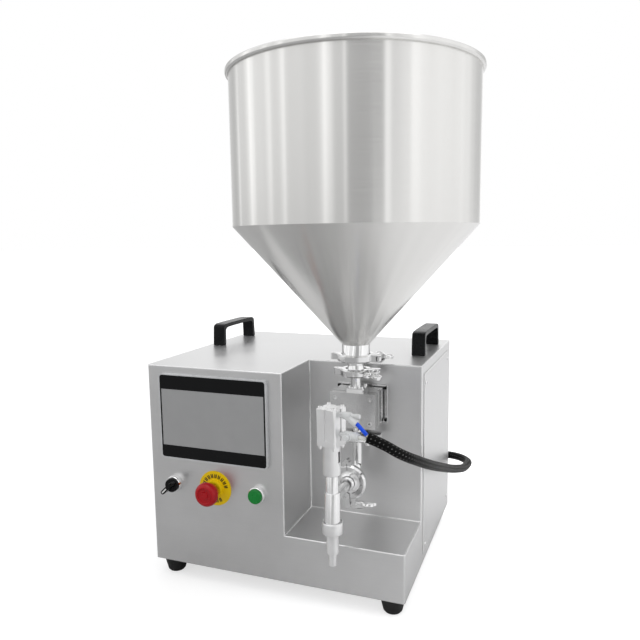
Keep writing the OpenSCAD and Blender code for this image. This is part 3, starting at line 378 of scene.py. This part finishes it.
MATERIALS = {
    "sheet": brushed_sheet(),
    "rolled": rolled_steel(),
    "machined": turned_steel("machined_steel", (0.64, 0.74), (0.16, 0.3), bump=0.3),
    "polished": turned_steel("polished_steel", (0.8, 0.88), (0.05, 0.12), bump=0.1),
    "cast": turned_steel("cast_steel", (0.74, 0.86), (0.08, 0.2), bump=0.25),
    "nozzle": turned_steel("nozzle_steel", (0.84, 0.9), (0.17, 0.2), bump=0.01, smear=0.97),
    "tip": turned_steel("tip_steel", (0.9, 0.96), (0.42, 0.5), bump=0.01, smear=0.97),
    "nut": turned_steel("union_nut_steel", (0.84, 0.92), (0.34, 0.42), bump=0.2, smear=0.8),
    "chrome": turned_steel("chrome", (0.82, 0.9), (0.04, 0.1), bump=0.06),
    "cap_screws": cap_screws(),
    "anodised": anodised("anodised", (0.86, 0.94), 0.36),
    "rubber": plastic("rubber", grey(0.012), 0.55, 1200, 0.5, specular_ior_level=0.3),
    "black_plastic": plastic("black_plastic", (0.003, 0.0034, 0.004), 0.28, 1600, 0.25,
                             specular_ior_level=0.18),
    "bezel": plastic("bezel_plastic", (0.56, 0.57, 0.58), 0.3, 2200, 0.2),
    "glass_black": plastic("glass_black", (0.003, 0.0032, 0.0036), 0.16, 400, 0.02,
                           specular_ior_level=0.2),
    "display": plastic("display_grey", (0.34, 0.342, 0.345), 0.4, 500, 0.01, 0.02,
                       specular_ior_level=0.3),
    "yellow": plastic("yellow_disc", (0.86, 0.6, 0.003), 0.4, 1500, 0.2, 0.04, specular_ior_level=0.25),
    "red": plastic("red_mushroom", (0.38, 0.003, 0.008), 0.3, 1500, 0.2, 0.08, specular_ior_level=0.3),
    "green": plastic("green_cap", (0.004, 0.2, 0.03), 0.28, 1500, 0.2, 0.08, specular_ior_level=0.3),
    "white": plastic("white_mark", (0.75, 0.75, 0.74), 0.45, 1500, 0.2, 0.03),
    "ink": plastic("black_print", (0.006, 0.006, 0.012), 0.4, 1500, 0.1, specular_ior_level=0.3),
    "fitting": plastic("fitting_white", (0.7, 0.71, 0.71), 0.24, 1800, 0.2, 0.05),
    "blue": plastic("tube_blue", (0.0, 0.075, 0.75), 0.2, 900, 0.1, 0.06, specular_ior_level=0.4),
    "clear": plastic("tube_clear", (0.72, 0.72, 0.68), 0.16, 900, 0.1, 0.05),
    "rocker": plastic("rocker_red", (0.42, 0.012, 0.012), 0.28, 1500, 0.2),
    "nickel": turned_steel("nickel_plate", (0.6, 0.68), (0.16, 0.26), bump=0.2),
    "painted": plastic("painted_housing", (0.32, 0.33, 0.33), 0.45, 1300, 0.4),
    "motor": plastic("motor_paint", (0.025, 0.025, 0.028), 0.4, 1300, 0.4),
    "seal": plastic("seal_rubber", (0.02, 0.02, 0.02), 0.6, 1300, 0.3),
}

# material, and the width of the rounded edge in millimetres, of each CAD node
FINISH = {
    "sheet": [("cabinet_shell", 0), ("base_plate", 0.3), ("back_panel", 0.3), ("side_covers", 0.45)],
    "cap_screws": [("valve_screws", 0)],
    "chrome": [("cover_screws", 0), ("selector_body", 0.3), ("start_body", 0.3)],
    "rubber": [("rubber_feet", 0.5), ("timing_belt", 0.3)],
    "black_plastic": [("carrying_handles", 1.2), ("estop_stem", 0.4),
                      ("selector_knob", 0.6), ("power_inlet", 0.4)],
    "bezel": [("screen_frame", 0.8)],
    "glass_black": [("screen_glass", 0.15)],
    "display": [("screen_display", 0)],
    "yellow": [("estop_ring", 0.3), ("estop_body", 0.3)],
    "red": [("estop_head", 0)],
    "green": [("start_cap", 0)],
    "machined": [("valve_cover", 1.1), ("valve_body", 0.8), ("valve_flange", 0.9),
                 ("metering_barrel", 0.4), ("piston", 0.2), ("ball_screw", 0.2),
                 ("shutoff_stem", 0.2), ("inlet_ball", 0), ("inlet_spring", 0)],
    "polished": [("pipe_stubs", 0.3), ("reducer", 0.25), ("outlet_elbow", 0.25), ("hopper_neck", 0.3)],
    "nozzle": [("nozzle_body", 0.3)],
    "tip": [("nozzle_tip", 0.3)],
    "seal": [("gaskets", 0)],
    "cast": [("pipe_clamps", 0.6), ("wing_nut_top", 0.35), ("wing_nut_inlet", 0.35),
             ("wing_nut_outlet", 0.35), ("wing_nut_nozzle", 0.35)],
    "anodised": [("air_cylinder", 0.35), ("nozzle_collar", 0.5), ("motor_pulley", 0.3),
                 ("drive_frame", 0.6), ("air_valve", 0.5)],
    "nut": [("nozzle_nut", 0.3)],
    "fitting": [("flow_valves", 0.5), ("flow_knob_upper", 0.2), ("flow_knob_lower", 0.2)],
    "blue": [("air_tube_blue", 0)],
    "clear": [("air_tube_clear", 0)],
    "nickel": [("rear_fittings", 0.3)],
    "rolled": [("hopper_barrel", 0), ("hopper_cone", 0)],
    "motor": [("servo_motor", 0.8)],
    "rocker": [("power_rocker", 0.5)],
    "painted": [("drive_electronics", 0.6)],
}


WELD_DISTANCE = 0.01 * MM
SHARP_EDGE = math.radians(38)


def finish_node(name, material, edge):
    """Gives a CAD node its material and, where an edge width is given, softly rounded edges."""
    node = NODES[name]
    node.data.materials.clear()
    node.data.materials.append(material)
    if edge:
        weld = node.modifiers.new("weld", "WELD")
        weld.merge_threshold = WELD_DISTANCE
        bevel = node.modifiers.new("edge", "BEVEL")
        bevel.width = edge * MM
        bevel.segments = 2
        bevel.limit_method = "ANGLE"
        bevel.angle_limit = SHARP_EDGE
        bevel.harden_normals = True


for key, nodes in FINISH.items():
    for name, edge in nodes:
        finish_node(name, MATERIALS[key], edge)


# ---- check valve spring ----


def squash_spring():
    """Gives the check ball's spring a mesh of its own, at its CAD length."""
    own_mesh(NODES["inlet_spring"])


squash_spring()


# ---- braided sleeve, the free hose from the nozzle to the back panel ----

SLEEVE_ROUTE = [
    (135, -206, 305), (149, -204.5, 299.5), (162.5, -200.5, 292.5), (175.5, -192, 282.5), (187, -177.5, 272),
    (195, -154, 260), (200, -126, 247), (204, -86, 230), (206, -36, 210), (207, 24, 187),
    (209, 84, 164), (213, 144, 143), (216, 194, 127), (217, 229, 119), (217, 261, 114),
    (213, 283, 110), (202, 302, 108), (185, 316, 107), (165, 323, 106), (143, 323, 106),
    (123, 316, 107), (107, 302, 109), (97, 285, 112), (92, 267, 113), (91, 255, 113),
]
SLEEVE_R = 7.8 * MM
BRAID_RING = 0.9 * MM
BRAID_SIDES = 96
BRAID_STRANDS = 8
BRAID_PITCH = 48 * MM
BRAID_DEPTH = 1.1 * MM
# how far a strand rises over the one it crosses, as a share of the depth
BRAID_WEAVE = 0.35


def braid_material(name, tone, specular):
    """Nylon yarn of the sleeve in a given tone; a lighter tone on the crests is a painted highlight."""
    s = Shader(name, specular_ior_level=specular)
    s.base(s.ramp(s.noise(900, 3, 0.6), [(0.3, grey(tone[0])), (0.75, grey(tone[1]))]))
    s.rough(s.ranged(s.noise(500, 2), 0.3, 0.45))
    s.bump(s.noise(3000, 2), 0.4, 0.0001)
    return s.material


def braided_sleeve():
    """Two sets of strands wound both ways round the hose, each passing over and under the other."""
    path = smooth_path([Vector(p) * MM for p in SLEEVE_ROUTE], BRAID_RING)
    vertices = []
    crest = []
    travelled = 0
    for i, (point, side, above) in enumerate(frames_along(path)):
        if i:
            travelled += (path[i] - path[i - 1]).length
        run = BRAID_STRANDS * travelled / BRAID_PITCH
        for k in range(BRAID_SIDES):
            angle = 2 * math.pi * k / BRAID_SIDES
            turn = BRAID_STRANDS * k / BRAID_SIDES
            wave_a, wave_b = math.sin(math.pi * (turn + run)), math.sin(math.pi * (turn - run))
            over = wave_a * wave_b
            ridge_a, ridge_b = abs(wave_a) ** 0.7, abs(wave_b) ** 0.7
            height = max(ridge_a + BRAID_WEAVE * over, ridge_b - BRAID_WEAVE * over)
            # how high a strand crests over the other, which picks the faces of the painted highlight
            crest.append(min(over * 1.6, ridge_a * 1.1))
            r = SLEEVE_R - BRAID_DEPTH + BRAID_DEPTH * min(height, 1.0)
            vertices.append(point + side * (r * math.cos(angle)) + above * (r * math.sin(angle)))
    piece = add_mesh("braided_sleeve", vertices, tube_faces(len(path), BRAID_SIDES), "machine",
                     braid_material("braid_black", (0.0015, 0.004), 0.08))
    # painted highlight: faces where a strand crests over the other get a lighter grey, glossier yarn
    piece.data.materials.append(braid_material("braid_crest_highlight", (0.15, 0.24), 0.3))
    for polygon in piece.data.polygons:
        if len(polygon.vertices) == 4:
            polygon.material_index = int(min(crest[v] for v in polygon.vertices) > 0.9)
    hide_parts("hose_sleeve")


braided_sleeve()


# ---- marks and trim ----

def front_plates(name, centre, boxes, reach, body, material):
    """Thin plates on a face that looks to the front.

    Each box is its angle round the centre, inner and outer end and half width, and reach is how far
    in front of the centre the plates start and end, all in degrees and millimetres.
    """
    vertices, faces = [], []
    for degrees, inner, outer, half in boxes:
        a = math.radians(degrees)
        out, side = Vector((math.cos(a), 0, math.sin(a))), Vector((-math.sin(a), 0, math.cos(a)))
        n = len(vertices)
        for proud in reach:
            for along, across in ((inner, -half), (outer, -half), (outer, half), (inner, half)):
                vertices.append(centre + (out * along + side * across - Vector((0, proud, 0))) * MM)
        faces += [(n + 3, n + 2, n + 1, n), (n + 4, n + 5, n + 6, n + 7)]
        faces += [(n + i, n + (i + 1) % 4, n + 4 + (i + 1) % 4, n + 4 + i) for i in range(4)]
    add_mesh(name, vertices, faces, body, material, smooth=False)


def panel_point(node):
    """The point on the front panel behind the middle of a control's fixed part."""
    low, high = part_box(node)
    return Vector(((low[0] + high[0]) / 2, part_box("cabinet_shell")[0][1], (low[2] + high[2]) / 2))


# fronts of the emergency stop's disc and of the selector's grip, in millimetres from the panel
DISC_FRONT = 1.2
GRIP_FRONT = 30.5
MARK_STEP = 18
MARK_PAIR = 3.4
MARK_INNER = 18
MARK_OUTER = 24.6
MARK_HALF = 0.85


def estop_marks():
    """Pairs of plain bars round the upper and the lower part of the emergency stop's disc."""
    boxes = []
    for start, count in ((158, 9), (-63, 4)):
        for i in range(count):
            for shift in (-MARK_PAIR, MARK_PAIR):
                boxes.append((start - i * MARK_STEP + shift, MARK_INNER, MARK_OUTER, MARK_HALF))
    front_plates("estop_marks", panel_point("estop_ring"), boxes, (DISC_FRONT + 0.02, DISC_FRONT + 0.14),
                 "machine", MATERIALS["ink"])


def selector_pointer():
    """The white line on the selector's grip, which points to the lower left at rest."""
    front_plates("selector_pointer", panel_point("selector_body"), [(225, 0.5, 11.6, 1.1)],
                 (GRIP_FRONT - 0.3, GRIP_FRONT + 0.12), "selector", MATERIALS["white"])


estop_marks()
selector_pointer()


# ---- floor and light ----

FLOOR_HALF = 30


def add_floor():
    """A floor that reads as the same white as the studio to the camera, with only a contact shadow; to other
    rays it is a grey that lightens towards the back right, painted brighter light on that side.
    """
    s = Shader("floor_white", roughness=0.9)
    place = s.axes(s.place)
    # painted light: the floor's grey lightens from the front left to the back right, standing in for
    # brighter light there
    away = s.math("ADD", place[0], s.math("MULTIPLY", place[1], 0.6))
    s.base(s.ramp(s.ranged(away, 0, 1, (-0.4, 0.4)), [(0, grey(0.4)), (1, grey(0.85))]))
    glow = s.node("Emission")
    glow.inputs["Strength"].default_value = 0.62
    seen = s.node("AddShader")
    s.link(s.bsdf.outputs[0], seen.inputs[0])
    s.link(glow.outputs[0], seen.inputs[1])
    pick = s.node("MixShader")
    s.link(s.node("LightPath").outputs["Is Camera Ray"], pick.inputs[0])
    s.link(s.bsdf.outputs[0], pick.inputs[1])
    s.link(seen.outputs[0], pick.inputs[2])
    s.link(pick.outputs[0], s.tree.nodes["Material Output"].inputs[0])
    mesh = bpy.data.meshes.new("floor")
    corners = [(x * FLOOR_HALF, y * FLOOR_HALF, 0) for x, y in ((-1, -1), (1, -1), (1, 1), (-1, 1))]
    mesh.from_pydata(corners, [], [(0, 1, 2, 3)])
    floor = bpy.data.objects.new("floor", mesh)
    floor.location.z = -0.5 * MM
    mesh.materials.append(s.material)
    SCENE.collection.objects.link(floor)


# brightness of the studio round the horizon: degrees from the front towards the right, and level
STUDIO = [
    (-180, 1.15), (-147, 1.1), (-138, 0.66), (-120, 0.6), (-113, 0.72), (-111, 1.4), (-108, 0.8),
    (-94, 0.92), (-87, 1.6), (-81, 0.98), (-65, 0.98), (-62, 1.5), (-59, 0.96), (-51, 0.96),
    (-47, 1.5), (-43, 0.94), (-15, 0.86), (-7, 1.5), (1, 0.76), (7, 0.7), (9, 1.3), (12, 0.45),
    (41, 0.41), (45.5, 1.3), (50, 0.74), (62, 0.92), (69, 1.3), (78, 1.12), (130, 1.08),
    (152, 0.7), (166, 0.62), (180, 1.15),
]


def add_world():
    """A white studio with soft strips of light round it, dimmer on the camera's side."""
    world = bpy.data.worlds.new("studio")
    world.use_nodes = True
    SCENE.world = world
    w = NodeTree(world.node_tree)
    x, y, z = w.axes(w.node("TexCoord").outputs["Generated"])
    turn = w.math("ARCTAN2", x, w.math("MULTIPLY", y, -1))
    ramp = w.node("ValToRGB")
    points = ramp.color_ramp.elements
    for degrees, level in STUDIO[1:-1]:
        points.new(degrees / 360 + 0.5).color = (*grey(level), 1)
    points[0].color = (*grey(STUDIO[0][1]), 1)
    points[len(points) - 1].color = (*grey(STUDIO[-1][1]), 1)
    w.link(w.ranged(turn, 0, 1, (-math.pi, math.pi)), ramp.inputs[0])
    rise = w.ranged(z, 0, 1, interpolation_type="SMOOTHSTEP")
    dome = w.towards(ramp.outputs[0], rise, (1.05, 1.05, 1.06))
    backdrop = w.towards(dome, w.node("LightPath").outputs["Is Camera Ray"], grey(1))
    w.link(backdrop, w.tree.nodes["Background"].inputs["Color"])


def add_softbox(name, place, aim, width, height, watts):
    """A rectangular area light at a place, turned to its aim."""
    data = bpy.data.lights.new(name, "AREA")
    data.shape = "RECTANGLE"
    data.size = width
    data.size_y = height
    data.energy = watts
    light = bpy.data.objects.new(name, data)
    light.location = place
    light.rotation_euler = (Vector(aim) - Vector(place)).to_track_quat("-Z", "Y").to_euler()
    SCENE.collection.objects.link(light)


add_floor()
add_world()
add_softbox("soft_top", place=(0.1, -0.1, 2.8), aim=(0, 0, 0.3), width=2.2, height=2.2, watts=14)
SCENE.view_settings.view_transform = "Standard"
